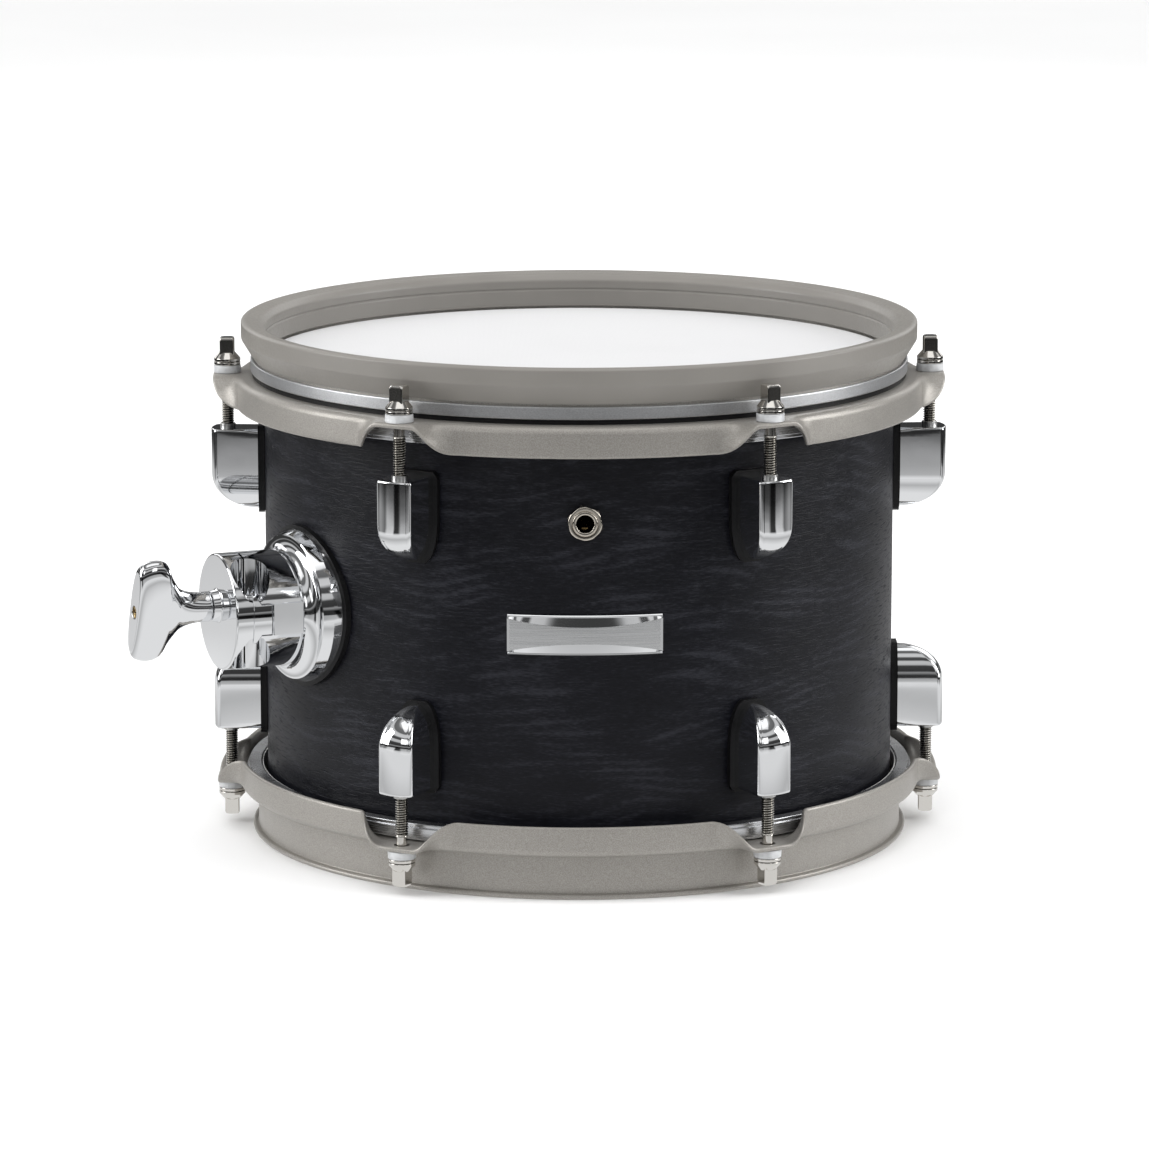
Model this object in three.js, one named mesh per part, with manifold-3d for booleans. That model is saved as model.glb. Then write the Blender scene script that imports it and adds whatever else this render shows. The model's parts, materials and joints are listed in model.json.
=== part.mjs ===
// A tom drum: a stained oak shell with a mesh batter head, a resonant head, two pressed steel
// hoops pulled together by tension rods and lugs, a side clamp for a stand arm, and the sensors
// and jack socket of an electronic drum.
//
// Millimetres, +Z up. The origin is the centre of the batter head's playing face, and the drum's
// axis is Z. The front, with the badge and the jack socket, faces -Y. An azimuth is measured
// from the front, and grows towards +X.

import * as THREE from 'three';
import { mergeVertices } from 'three/addons/utils/BufferGeometryUtils.js';
import Module from 'manifold-3d';

const wasm = await Module();
wasm.setup();

// ---- Driving dimensions -------------------------------------------------------------------

const RING_SEGMENTS = 60;
const SMALL_SEGMENTS = 16;
const GAP = 0.35;

const SHELL = { radius: 127, wall: 6, depth: 177.8, top: -0.7, edgeRound: 1.6, bevel: 4.2 };
const HEAD = { film: 0.35, flatRadius: 125.3, edgeRadius: 127.6, collarRadius: 128.35, footRadius: 129.2 };
const FLESH = { inner: 129.65, outer: 135.4, height: 6.8, drop: 2.4 };

// Heights of the two ear faces, which the washers press on.
const BATTER_EAR_Z = -7.3;
const RESONANT_EAR_Z = -175.5;
const BATTER_COLLAR = 16;
const RESONANT_COLLAR = 12.4;

const HOOP = {
  sheet: 2, wallRadius: 129.9, lipRadius: 133.4, lipHeight: 17.8,
  bendStart: 135.7, bendRadius: 1.9, skirtLength: 9.3, earReach: 147.5,
  earHalfWidth: 7, earFadeEnd: 22.5,
};
const COVER = { outer: 136.1, crest: 134.9, inner: 126.6, top: 22.5, bandBottom: 15.2, bottom: 7.1 };

const EARS = {
  front_right: 30, right: 90, rear_right: 150, rear_left: -150, left: -90, front_left: -30,
};
const ROD = {
  circle: 141.8, shank: 2.35, reach: 42, flange: 5.3, flangeTop: 5.4, flangeBottom: 4.7,
  coneTop: 8.2, square: 5.8, top: 14.3, earHole: 3.1,
};
const LUG = {
  back: 129.4, front: 148.5, width: 15, straight: 18.3, length: 33.1, drop: 22.4,
  hole: 3.15, holeDepth: 25, round: 1.1,
};
const GASKET = { back: 127.35, front: 129.05, margin: 1.6 };

const JACK = {
  z: -45.9, bushing: 4.85, bushingEnd: 131.2, bore: 3.45, boreEnd: 99, hole: 5.4,
  body: [15, 22, 16], bodyFront: 120.4, nutAcross: 12, nutDepth: 2.1, thread: 5.2,
};
const BADGE = { width: 60.6, height: 15.7, z: -89.95, inner: 127.35, outer: 128.9 };

const CLAMP = {
  azimuth: -60, z: -90.4, swing: -8, flange: 30.3, flangeEdge: 2.6, ridge: 28.2, ridgeStart: 6.8,
  body: 23, bodyStart: 11, split: 27.5, end: 36, armOffset: 14.7, armBore: 6.15,
  boltBore: 4.4, boltBoreStart: 7, boltLift: 2.5,
};
const CLAMP_GASKET = { radius: 32, inner: 127.35, outer: 129.3 };
const BACKING = { inner: 118.2, outer: 120.6, halfAngle: 13, height: 44 };
const BOLT = {
  shank: 3.9, start: 9, neck: 5.9, neckEnd: 44, wingStart: 57.5, wingEnd: 70.6, halfSpan: 20.6,
  thickness: 12, lean: 20,
};

const BRIDGE = { azimuth: 60, halfLength: 119.5, width: 24, top: -36, sheet: 2, foot: 22 };
const HEAD_SENSOR = { radius: 17.5, disc: 0.9, pad: 3, foamBase: 19, foamTop: 9, foamCrown: -0.75 };
const RIM_SENSOR = { offset: 62, radius: 11, disc: 0.9, pad: 2.4 };
const LEAD = { radius: 1.4, steps: 14, sides: 8 };

// ---- Materials ----------------------------------------------------------------------------

function material(color, roughness, metalness) {
  return new THREE.MeshStandardMaterial({ color, roughness, metalness });
}

const OAK = material(0x1d2027, 0.45, 0);
const HOOP_PAINT = material(0x9c9890, 0.42, 0.5);
const RIM_RUBBER = material(0x98948c, 0.6, 0);
const BLACK_RUBBER = material(0x0d0d0e, 0.6, 0);
const CHROME = material(0xe6e8ea, 0.06, 1);
const ALUMINIUM = material(0xc9cbcd, 0.3, 1);
const MESH_CLOTH = material(0xeeeeee, 0.7, 0);
const FILM = material(0xf1f1ee, 0.35, 0);
const STEEL = material(0x9a9da0, 0.35, 1);
const BRASS = material(0xb08d45, 0.35, 1);
const FOAM = material(0x2b2c2f, 0.95, 0);
const PLASTIC = material(0x141416, 0.4, 0);

// ---- Geometry helpers ---------------------------------------------------------------------

const radians = THREE.MathUtils.degToRad;

// Welds shared vertices and turns the triangles so that the volume is positive.
function closed(geometry) {
  const bare = geometry.index ? geometry : geometry.clone();
  bare.deleteAttribute('normal');
  bare.deleteAttribute('uv');
  const welded = mergeVertices(bare, 1e-4);
  const p = welded.attributes.position;
  const ring = Array.from(welded.index.array);
  const kept = [];
  const [a, b, c] = [new THREE.Vector3(), new THREE.Vector3(), new THREE.Vector3()];
  let volume = 0;
  for (let i = 0; i < ring.length; i += 3) {
    const [i0, i1, i2] = ring.slice(i, i + 3);
    if (i0 === i1 || i1 === i2 || i2 === i0) continue;
    a.fromBufferAttribute(p, i0);
    b.fromBufferAttribute(p, i1);
    c.fromBufferAttribute(p, i2);
    volume += a.dot(b.cross(c));
    kept.push(i0, i1, i2);
  }
  if (volume < 0) kept.reverse();
  welded.setIndex(kept);
  return welded;
}

function solid(geometry) {
  const g = closed(geometry);
  return new wasm.Manifold(new wasm.Mesh({
    numProp: 3,
    vertProperties: new Float32Array(g.attributes.position.array),
    triVerts: new Uint32Array(g.index.array),
  }));
}

function geometryOf(manifold) {
  const { vertProperties, triVerts } = manifold.getMesh();
  const g = new THREE.BufferGeometry();
  g.setAttribute('position', new THREE.BufferAttribute(new Float32Array(vertProperties), 3));
  g.setIndex(Array.from(triVerts));
  return g;
}

// Turns an outline of [radius, z] points round the Z axis.
function turned(outline, segments = RING_SEGMENTS) {
  const points = outline.map(([r, z]) => new THREE.Vector2(r, z));
  return new THREE.LatheGeometry(points, segments).rotateX(Math.PI / 2);
}

// The same for an outline that closes on itself, such as a ring's section.
function turnedRing(outline, segments = RING_SEGMENTS) {
  return turned([...outline, outline[0]], segments);
}

// A cylinder along Z between two heights.
function post(radius, bottom, top, segments = SMALL_SEGMENTS) {
  return new THREE.CylinderGeometry(radius, radius, top - bottom, segments)
    .rotateX(Math.PI / 2).translate(0, 0, (bottom + top) / 2);
}

function box(x, y, z) {
  return new THREE.BoxGeometry(x[1] - x[0], y[1] - y[0], z[1] - z[0])
    .translate((x[0] + x[1]) / 2, (y[0] + y[1]) / 2, (z[0] + z[1]) / 2);
}

// A plate that follows the shell: a sector centred on +X between two radii and two heights.
function sector(inner, outer, halfAngle, bottom, top, steps) {
  const shape = new THREE.Shape();
  shape.absarc(0, 0, outer, -radians(halfAngle), radians(halfAngle), false);
  shape.absarc(0, 0, inner, radians(halfAngle), -radians(halfAngle), true);
  return new THREE.ExtrudeGeometry(shape, { depth: top - bottom, bevelEnabled: false, curveSegments: steps })
    .translate(0, 0, bottom);
}

const drum = new THREE.Group();

function place(name, geometry, look, parent = drum) {
  const mesh = new THREE.Mesh(closed(geometry), look);
  mesh.name = name;
  parent.add(mesh);
  return mesh;
}

// A group whose local +X points outwards at an azimuth.
function facing(azimuth, z = 0) {
  const group = new THREE.Group();
  group.rotation.z = radians(azimuth - 90);
  group.position.z = z;
  drum.add(group);
  return group;
}

// ---- Shell and heads ----------------------------------------------------------------------

// Bored for the jack. Both edges are cut to 45 degrees inside and eased outside.
function shellGeometry() {
  const { radius, wall, depth, top, edgeRound, bevel } = SHELL;
  const bottom = top - depth;
  const outline = [
    [radius, top - edgeRound], [radius - edgeRound, top], [radius - wall + bevel * 0.2, top - bevel * 0.6],
    [radius - wall, top - bevel], [radius - wall, bottom + bevel],
    [radius - wall + bevel * 0.2, bottom + bevel * 0.6], [radius - edgeRound, bottom],
    [radius, bottom + edgeRound],
  ];
  const hole = post(JACK.hole, radius - 2 * wall, radius + wall).rotateX(Math.PI / 2).translate(0, 0, JACK.z);
  return geometryOf(solid(turnedRing(outline, RING_SEGMENTS + 12)).subtract(solid(hole)));
}

// A stretched film whose collar wraps over the shell's edge, facing up, with its face at z = 0.
function headGeometry(collar) {
  const { film, flatRadius, edgeRadius, collarRadius, footRadius } = HEAD;
  return turned([
    [0, 0], [flatRadius, 0], [edgeRadius, -0.9], [collarRadius, -2.5], [footRadius, -collar],
    [footRadius - 0.4, -collar], [collarRadius - 0.4, -2.7], [edgeRadius - 0.3, -1.25],
    [flatRadius - 0.1, -film], [0, -film],
  ]);
}

// The metal hoop that grips the film's rim, with its upper face under an ear at z = 0.
function fleshHoopGeometry() {
  const { inner, outer, height, drop } = FLESH;
  return turnedRing([[inner, -drop], [outer, -drop], [outer, -drop - height], [inner, -drop - height]]);
}

// ---- Hoops --------------------------------------------------------------------------------

// How far the sheet has turned into an ear, 1 on the ear and 0 where the skirt hangs straight.
function earShare(distance) {
  const { earHalfWidth, earFadeEnd } = HOOP;
  const past = THREE.MathUtils.clamp((Math.abs(distance) - earHalfWidth) / (earFadeEnd - earHalfWidth), 0, 1);
  return 1 - past * past * (3 - 2 * past);
}

// Middle line of the pressed sheet from the lip to the free edge, in [radius, z].
function sheetLine(share) {
  const { sheet, wallRadius, lipRadius, lipHeight, bendStart, bendRadius, skirtLength, earReach } = HOOP;
  const half = sheet / 2;
  const turn = Math.max((Math.PI / 2) * (1 - share), 1e-3);
  const bendLength = (bendRadius * Math.PI) / 2;
  const radius = bendLength / turn;
  const length = THREE.MathUtils.lerp(skirtLength, earReach - bendStart - bendLength, share);
  const line = [
    [lipRadius, lipHeight - half], [wallRadius + 0.7, lipHeight - half],
    [wallRadius, lipHeight - half - 0.7], [wallRadius, 2.4], [wallRadius + 1.8, -half + 0.6],
    [bendStart, -half],
  ];
  for (const angle of [turn / 2, turn]) {
    line.push([bendStart + radius * Math.sin(angle), -half - radius * (1 - Math.cos(angle))]);
  }
  const [r, z] = line.at(-1);
  line.push([r + length * Math.cos(turn), z - length * Math.sin(turn)]);
  return line;
}

// Thickens a middle line into a closed section.
function thicken(line, thickness) {
  const left = [];
  const right = [];
  line.forEach(([r, z], i) => {
    const before = line[Math.max(i - 1, 0)];
    const after = line[Math.min(i + 1, line.length - 1)];
    const d1 = new THREE.Vector2(r - before[0], z - before[1]).normalize();
    const d2 = new THREE.Vector2(after[0] - r, after[1] - z).normalize();
    const along = d1.clone().add(d2).normalize();
    const bend = i === 0 || i === line.length - 1 ? 1 : Math.max(along.dot(d2), 0.6);
    const off = new THREE.Vector2(-along.y, along.x).multiplyScalar(thickness / 2 / bend);
    left.push([r + off.x, z + off.y]);
    right.push([r - off.x, z - off.y]);
  });
  return [...left, ...right.reverse()];
}

// Azimuths of the sections: close together round each ear and even between the ears.
function hoopStations() {
  const { earHalfWidth, earFadeEnd } = HOOP;
  const perDegree = radians(1) * (HOOP.bendStart + HOOP.bendRadius);
  const near = [earHalfWidth, 10, 13, 16, 19, earFadeEnd];
  const between = 6;
  const stations = [];
  for (const azimuth of Object.values(EARS).sort((p, q) => p - q)) {
    for (const s of [...near].reverse()) stations.push([azimuth - s / perDegree, earShare(s)]);
    for (const s of near) stations.push([azimuth + s / perDegree, earShare(s)]);
    const start = azimuth + earFadeEnd / perDegree;
    const step = (60 - 2 * earFadeEnd / perDegree) / between;
    for (let i = 1; i < between; i += 1) stations.push([start + i * step, 0]);
  }
  return stations;
}

// A pressed hoop with its wall up and the faces of its ears at z = 0, bored for the rods.
function hoopGeometry() {
  const rings = hoopStations().map(([azimuth, share]) => {
    const a = radians(azimuth);
    return thicken(sheetLine(share), HOOP.sheet)
      .map(([r, z]) => [r * Math.sin(a), -r * Math.cos(a), z]);
  });
  const count = rings[0].length;
  const index = [];
  rings.forEach((ring, i) => {
    const next = (i + 1) % rings.length;
    for (let j = 0; j < count; j += 1) {
      const k = (j + 1) % count;
      const [p, q, r, s] = [i * count + j, next * count + j, next * count + k, i * count + k];
      index.push(p, q, r, p, r, s);
    }
  });
  const g = new THREE.BufferGeometry();
  g.setAttribute('position', new THREE.Float32BufferAttribute(rings.flat(2), 3));
  g.setIndex(index);
  let hoop = solid(g);
  for (const azimuth of Object.values(EARS)) {
    const hole = post(ROD.earHole, -3 * HOOP.sheet, HOOP.sheet, 12)
      .translate(ROD.circle, 0, 0).rotateZ(radians(azimuth - 90));
    hoop = hoop.subtract(solid(hole));
  }
  return geometryOf(hoop);
}

// The rubber cover that grips the batter hoop's wall and lip, in the hoop's own heights.
function coverGeometry() {
  const { outer, crest, inner, top, bandBottom, bottom } = COVER;
  const outside = HOOP.wallRadius + HOOP.sheet / 2 + GAP + 0.1;
  const inside = HOOP.wallRadius - HOOP.sheet / 2 - GAP - 0.15;
  const lip = HOOP.lipRadius + GAP + 0.2;
  return turnedRing([
    [outside, bottom], [outer, bandBottom], [outer, top - 1.1], [crest, top], [130.6, top - 0.2],
    [inner + 1, top - 2.2], [inner, bottom + 1.5], [inside, bottom + 1.5],
    [inside, HOOP.lipHeight + 0.8], [lip, HOOP.lipHeight + 0.8], [lip, bandBottom], [outside, 14.1],
  ]);
}

// ---- Rods and lugs ------------------------------------------------------------------------

// A tension rod standing on an ear whose face is at z = 0: square head, cone, flange and shank.
function rodGeometry() {
  const { shank, reach, flange, flangeTop, flangeBottom, coneTop, square, top } = ROD;
  const turnedPart = turned([
    [0, -reach], [shank, -reach], [shank, flangeBottom], [flange, flangeBottom],
    [flange, flangeTop], [square * 0.5, coneTop], [0, coneTop],
  ], 12);
  const half = square / 2;
  const head = box([-half, half], [-half, half], [coneTop - 2, top]);
  return geometryOf(solid(turnedPart).add(solid(head)));
}

// A bullet lug, in [outward, across, up] with its flat end at z = 0 and its body below.
function lugGeometry() {
  const { back, front, width, straight, length, hole, holeDepth, round } = LUG;
  const shape = new THREE.Shape();
  shape.moveTo(back, 0);
  shape.lineTo(front, 0);
  shape.lineTo(front, -straight);
  shape.absellipse(back, -straight, front - back, length - straight, 0, -Math.PI / 2, true);
  shape.closePath();
  const body = new THREE.ExtrudeGeometry(shape, {
    depth: width - 2 * round, curveSegments: 6, bevelEnabled: true, bevelSegments: 1,
    bevelThickness: round, bevelSize: round, bevelOffset: -round,
  }).translate(0, 0, round - width / 2).rotateX(Math.PI / 2);
  const bore = post(hole, -holeDepth, 5, 12).translate(ROD.circle, 0, 0);
  return geometryOf(solid(body).subtract(solid(bore)));
}

function lugGasketGeometry() {
  const { back, front, margin } = GASKET;
  const half = LUG.width / 2 + margin;
  return box([back, front], [-half, half], [-LUG.length - margin, margin]);
}

// One end of the drum: its rods, lugs and gaskets. up is 1 for the batter end, -1 for the other.
function tensioners(end, earZ, up) {
  for (const [where, azimuth] of Object.entries(EARS)) {
    const group = facing(azimuth, earZ);
    const upright = new THREE.Group();
    upright.rotation.x = up > 0 ? 0 : Math.PI;
    group.add(upright);
    place(`${end}_rod_${where}`, rodGeometry(), CHROME, upright).position.x = ROD.circle;
    place(`${end}_lug_${where}`, lugGeometry(), CHROME, upright).position.z = -LUG.drop;
    place(`${end}_lug_gasket_${where}`, lugGasketGeometry(), BLACK_RUBBER, upright).position.z = -LUG.drop;
  }
}

// ---- Jack and badge -----------------------------------------------------------------------

// Runs outwards along +X: the bushing through the shell, and the body inside it.
function jackSocketGeometry() {
  const { bushing, bushingEnd, bore, boreEnd, body, bodyFront } = JACK;
  const [width, length, height] = body;
  const tube = post(bushing, bodyFront - 1, bushingEnd).rotateY(Math.PI / 2);
  const block = box([bodyFront - length, bodyFront], [-width / 2, width / 2], [-height / 2, height / 2]);
  const way = post(bore, boreEnd, bushingEnd + 2).rotateY(Math.PI / 2);
  return geometryOf(solid(tube).add(solid(block)).subtract(solid(way)));
}

function jackNutGeometry() {
  const { nutAcross, nutDepth, thread } = JACK;
  const corner = nutAcross / 2 / Math.cos(Math.PI / 6);
  const start = SHELL.radius + GAP;
  const hex = post(corner, start, start + nutDepth, 6).rotateY(Math.PI / 2);
  const bore = post(thread, start - 1, start + nutDepth + 1).rotateY(Math.PI / 2);
  return geometryOf(solid(hex).subtract(solid(bore)));
}

function badgeGeometry() {
  const { width, height, inner, outer } = BADGE;
  const halfAngle = THREE.MathUtils.radToDeg(Math.asin(width / 2 / outer));
  return sector(inner, outer, halfAngle, -height / 2, height / 2, 8);
}

// ---- Side clamp ---------------------------------------------------------------------------
// Built along local +X, which runs outwards, with x = 0 on the shell's outer face. The body, the
// jaw and the bolt swing about the vertical through that point, away from the flange's own line.
// The bolt's own line runs a little above the middle of the jaw.

// Moves geometry built along +Z from 0 to run along +X from the shell's face.
function outward(geometry) {
  return geometry.rotateY(Math.PI / 2);
}

function shellCylinder(radius) {
  return post(radius, -60, 60, 96).translate(-SHELL.radius, 0, 0);
}

function armBore() {
  return post(CLAMP.armBore, -60, 60, 24).translate(CLAMP.split, CLAMP.armOffset, 0);
}

function boltBore(from, to) {
  return outward(post(CLAMP.boltBore, from, to)).translate(0, 0, CLAMP.boltLift);
}

function clampGasketGeometry() {
  const { radius, inner, outer } = CLAMP_GASKET;
  const disc = solid(outward(post(radius, -8, 6, 36)));
  return geometryOf(disc.intersect(solid(shellCylinder(outer))).subtract(solid(shellCylinder(inner))));
}

function swung(geometry) {
  return geometry.rotateZ(radians(CLAMP.swing));
}

function clampBaseGeometry() {
  const { flange, flangeEdge, ridge, ridgeStart, body, bodyStart, split, boltBoreStart } = CLAMP;
  const foot = outward(turned([
    [0, -8], [flange, -8], [flange, flangeEdge], [ridge, ridgeStart], [body + 2, ridgeStart + 1.6],
    [body, bodyStart], [0, bodyStart],
  ], 40));
  const barrel = swung(outward(post(body, 0, split - GAP, 40)));
  const seat = solid(shellCylinder(CLAMP_GASKET.outer + GAP));
  return geometryOf(solid(foot).add(solid(barrel)).subtract(seat).subtract(solid(swung(armBore())))
    .subtract(solid(swung(boltBore(boltBoreStart, split + 1)))));
}

function clampJawGeometry() {
  const { body, split, end } = CLAMP;
  const disc = outward(turned([
    [0, split + GAP], [body, split + GAP], [body, end - 0.8], [body - 0.8, end], [0, end],
  ], 40));
  return geometryOf(solid(disc).subtract(solid(armBore())).subtract(solid(boltBore(split - 1, end + 1))));
}

// The wing bolt: a screw along +X with a T-shaped handle, its wings up and down.
function wingBoltGeometry() {
  const { shank, start, neck, neckEnd, wingStart, wingEnd, halfSpan, thickness, lean } = BOLT;
  const neckStart = CLAMP.end + GAP;
  const side = new THREE.Shape();
  side.moveTo(neckStart, -neck);
  side.lineTo(neckStart, neck);
  side.lineTo(neckEnd, neck);
  side.bezierCurveTo(neckEnd + 7, neck + 1, wingStart - 5, halfSpan - 3, wingStart + 1, halfSpan - 1);
  side.quadraticCurveTo(wingStart + 6, halfSpan + 1, wingEnd - 3, halfSpan - 1.5);
  side.quadraticCurveTo(wingEnd, halfSpan - 4, wingEnd, neck);
  side.lineTo(wingEnd, -neck);
  side.quadraticCurveTo(wingEnd, 4 - halfSpan, wingEnd - 3, 1.5 - halfSpan);
  side.quadraticCurveTo(wingStart + 6, -halfSpan - 1, wingStart + 1, 1 - halfSpan);
  side.bezierCurveTo(wingStart - 5, 3 - halfSpan, neckEnd + 7, -neck - 1, neckEnd, -neck);
  const handle = new THREE.ExtrudeGeometry(side, {
    depth: thickness - 3, curveSegments: 5, bevelEnabled: true, bevelSegments: 1,
    bevelThickness: 1.5, bevelSize: 1.5, bevelOffset: -1.5,
  }).translate(0, 0, 1.5 - thickness / 2).rotateX(Math.PI / 2);
  const screw = outward(post(shank, start, neckStart + 4, 12));
  return geometryOf(solid(handle).add(solid(screw)))
    .rotateX(-radians(lean))
    .translate(0, 0, CLAMP.boltLift);
}

function sideClamp() {
  const group = facing(CLAMP.azimuth, CLAMP.z);
  const foot = new THREE.Group();
  foot.position.x = SHELL.radius;
  group.add(foot);
  place('clamp_gasket', clampGasketGeometry(), BLACK_RUBBER, foot);
  place('clamp_base', clampBaseGeometry(), CHROME, foot);
  place('clamp_jaw', swung(clampJawGeometry()), CHROME, foot);
  place('wing_bolt', swung(wingBoltGeometry()), CHROME, foot);
  const { inner, outer, halfAngle, height } = BACKING;
  place('clamp_backing_plate', sector(inner, outer, halfAngle, -height / 2, height / 2, 6), STEEL, group);
}

// ---- Sensors inside the drum --------------------------------------------------------------

// A bar across the drum, its ends folded down against the shell's inner face.
function bridgeGeometry() {
  const { halfLength, width, top, sheet, foot } = BRIDGE;
  const shape = new THREE.Shape([
    [-halfLength, top], [halfLength, top], [halfLength, top - foot], [halfLength - sheet, top - foot],
    [halfLength - sheet, top - sheet], [sheet - halfLength, top - sheet],
    [sheet - halfLength, top - foot], [-halfLength, top - foot],
  ].map(([x, y]) => new THREE.Vector2(x, y)));
  return new THREE.ExtrudeGeometry(shape, { depth: width, bevelEnabled: false })
    .translate(0, 0, -width / 2).rotateX(Math.PI / 2);
}

// The two-core lead from the sensors to the back of the jack, hanging free between them.
function leadGeometry() {
  const back = JACK.bodyFront - JACK.body[1] - GAP;
  const route = new THREE.CatmullRomCurve3([
    [2, -15, -41.5], [2.5, -24, -46], [3, -40, -54], [2, -58, -56], [1, -74, -51], [0, -86, -47],
    [0, -back, JACK.z],
  ].map(([x, y, z]) => new THREE.Vector3(x, y, z)));
  const section = new THREE.Shape();
  for (let i = 0; i < LEAD.sides; i += 1) {
    const a = (2 * Math.PI * i) / LEAD.sides;
    const [x, y] = [LEAD.radius * Math.cos(a), LEAD.radius * Math.sin(a)];
    if (i === 0) section.moveTo(x, y);
    else section.lineTo(x, y);
  }
  section.closePath();
  return new THREE.ExtrudeGeometry(section, { steps: LEAD.steps, extrudePath: route, bevelEnabled: false });
}

function sensors() {
  const group = facing(BRIDGE.azimuth);
  place('sensor_bridge', bridgeGeometry(), ALUMINIUM, group);
  const { radius, disc, pad, foamBase, foamTop, foamCrown } = HEAD_SENSOR;
  const padTop = BRIDGE.top + GAP + pad;
  const discTop = padTop + GAP + disc;
  place('head_sensor_pad', post(radius, BRIDGE.top + GAP, padTop, 24), FOAM, group);
  place('head_sensor_disc', post(radius, padTop + GAP, discTop, 24), BRASS, group);
  const foam = [[0, discTop + GAP], [foamBase, discTop + GAP], [foamTop, foamCrown], [0, foamCrown]];
  place('sensor_foam', turned(foam, 24), FOAM, group);
  const under = BRIDGE.top - BRIDGE.sheet - GAP;
  const rimPad = post(RIM_SENSOR.radius, under - RIM_SENSOR.pad, under).translate(RIM_SENSOR.offset, 0, 0);
  place('rim_sensor_pad', rimPad, FOAM, group);
  const discUnder = under - RIM_SENSOR.pad - GAP;
  const rimDisc = post(RIM_SENSOR.radius, discUnder - RIM_SENSOR.disc, discUnder)
    .translate(RIM_SENSOR.offset, 0, 0);
  place('rim_sensor_disc', rimDisc, BRASS, group);
  place('sensor_lead', leadGeometry(), BLACK_RUBBER);
}

// ---- Assembly -----------------------------------------------------------------------------

place('shell', shellGeometry(), OAK);

place('batter_head', headGeometry(BATTER_COLLAR), MESH_CLOTH);
place('batter_flesh_hoop', fleshHoopGeometry(), ALUMINIUM).position.z = BATTER_EAR_Z;
place('batter_hoop', hoopGeometry(), HOOP_PAINT).position.z = BATTER_EAR_Z;
place('rim_cover', coverGeometry(), RIM_RUBBER).position.z = BATTER_EAR_Z;

const lowerEnd = new THREE.Group();
lowerEnd.rotation.x = Math.PI;
drum.add(lowerEnd);
const lowerFace = SHELL.top - SHELL.depth - GAP - HEAD.film;
place('resonant_head', headGeometry(RESONANT_COLLAR), FILM, lowerEnd).position.z = -lowerFace;
place('resonant_flesh_hoop', fleshHoopGeometry(), ALUMINIUM, lowerEnd).position.z = -RESONANT_EAR_Z;
place('resonant_hoop', hoopGeometry(), HOOP_PAINT, lowerEnd).position.z = -RESONANT_EAR_Z;

tensioners('batter', BATTER_EAR_Z, 1);
tensioners('resonant', RESONANT_EAR_Z, -1);

const front = facing(0, JACK.z);
place('jack_socket', jackSocketGeometry(), PLASTIC, front);
place('jack_nut', jackNutGeometry(), CHROME, front);
place('badge', badgeGeometry(), CHROME, facing(0, BADGE.z));

sideClamp();
sensors();

export default drum;
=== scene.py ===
"""The looks of a tom drum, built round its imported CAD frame.

Metres in Blender, +Z up; the origin is the centre of the batter head's playing face and the front faces
-Y. Shapes are drawn in millimetres and scaled by MM as they become meshes. Places come from the frame's
boxes and joints.
"""

import json
import math
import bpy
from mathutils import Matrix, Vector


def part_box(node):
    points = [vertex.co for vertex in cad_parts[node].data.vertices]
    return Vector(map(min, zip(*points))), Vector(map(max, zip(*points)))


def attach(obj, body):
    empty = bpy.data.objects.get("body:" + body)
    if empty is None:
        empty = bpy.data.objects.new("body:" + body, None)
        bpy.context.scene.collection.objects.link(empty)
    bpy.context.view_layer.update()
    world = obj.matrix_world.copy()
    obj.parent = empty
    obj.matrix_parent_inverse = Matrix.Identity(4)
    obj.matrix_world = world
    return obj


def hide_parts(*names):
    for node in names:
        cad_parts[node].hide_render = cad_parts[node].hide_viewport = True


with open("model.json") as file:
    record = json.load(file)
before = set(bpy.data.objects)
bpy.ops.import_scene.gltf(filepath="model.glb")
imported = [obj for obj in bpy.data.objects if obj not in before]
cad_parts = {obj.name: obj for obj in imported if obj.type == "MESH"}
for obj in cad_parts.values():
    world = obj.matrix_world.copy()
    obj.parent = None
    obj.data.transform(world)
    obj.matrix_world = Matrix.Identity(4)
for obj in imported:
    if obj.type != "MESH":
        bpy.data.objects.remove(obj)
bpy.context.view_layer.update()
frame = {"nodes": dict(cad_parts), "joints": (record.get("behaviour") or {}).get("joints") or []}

from types import SimpleNamespace as Sizes

import bmesh
import bpy
import numpy as np
from mathutils import Matrix, Vector

MM = 0.001
JOINTS = {j["name"]: j for j in frame["joints"]}
WHERE = [n[len("batter_rod_"):] for n in frame["nodes"] if n.startswith("batter_rod_")]
ENDS = ("batter", "resonant")

# ---- Driving dimensions, in millimetres ----

FINE = 288
SMALL = 48

HOOP = Sizes(
    sheet=2.0, wall=129.9, lip=133.4, height=17.8, bend_start=135.7, bend=1.9,
    skirt=9.3, ear_reach=147.5, ear_half=7.0, ear_fade=22.5, ear_hole=3.1,
)
# The band's last size is the outer radius of the black ring that paints the shadow under it.
BAND = Sizes(inner=130.95, outer=132.4, low=1.9, high=6.9, seal=131.8)
COVER = Sizes(outer=136.1, crest=134.9, inner=126.6, top=22.5, band=15.2, bottom=7.1)
SHELL = Sizes(wall=6.0, edge=1.6, bevel=4.2)
HEAD = Sizes(film=0.35, flat=125.3, edge=127.6, collar=128.35, foot=129.2, cloth=284.0)
FLESH = Sizes(inner=129.65, height=6.8)
ROD = Sizes(
    shank=2.6, root=2.0, plain=2.2, neck=5.6, pitch=0.95, reach=42.0, threaded=27.0,
    flange=5.3, flange_bottom=4.7, cone=8.2, square=5.8, top=14.3,
)
LUG = Sizes(
    back=129.4, front=148.5, half=7.5, straight=18.3, length=33.1, drop=22.4, tip=0.4,
    narrows=15.5, crown=1.1, crease=1.7,
)
GASKET = Sizes(margin=1.6, back=127.15, front=129.5)
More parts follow.
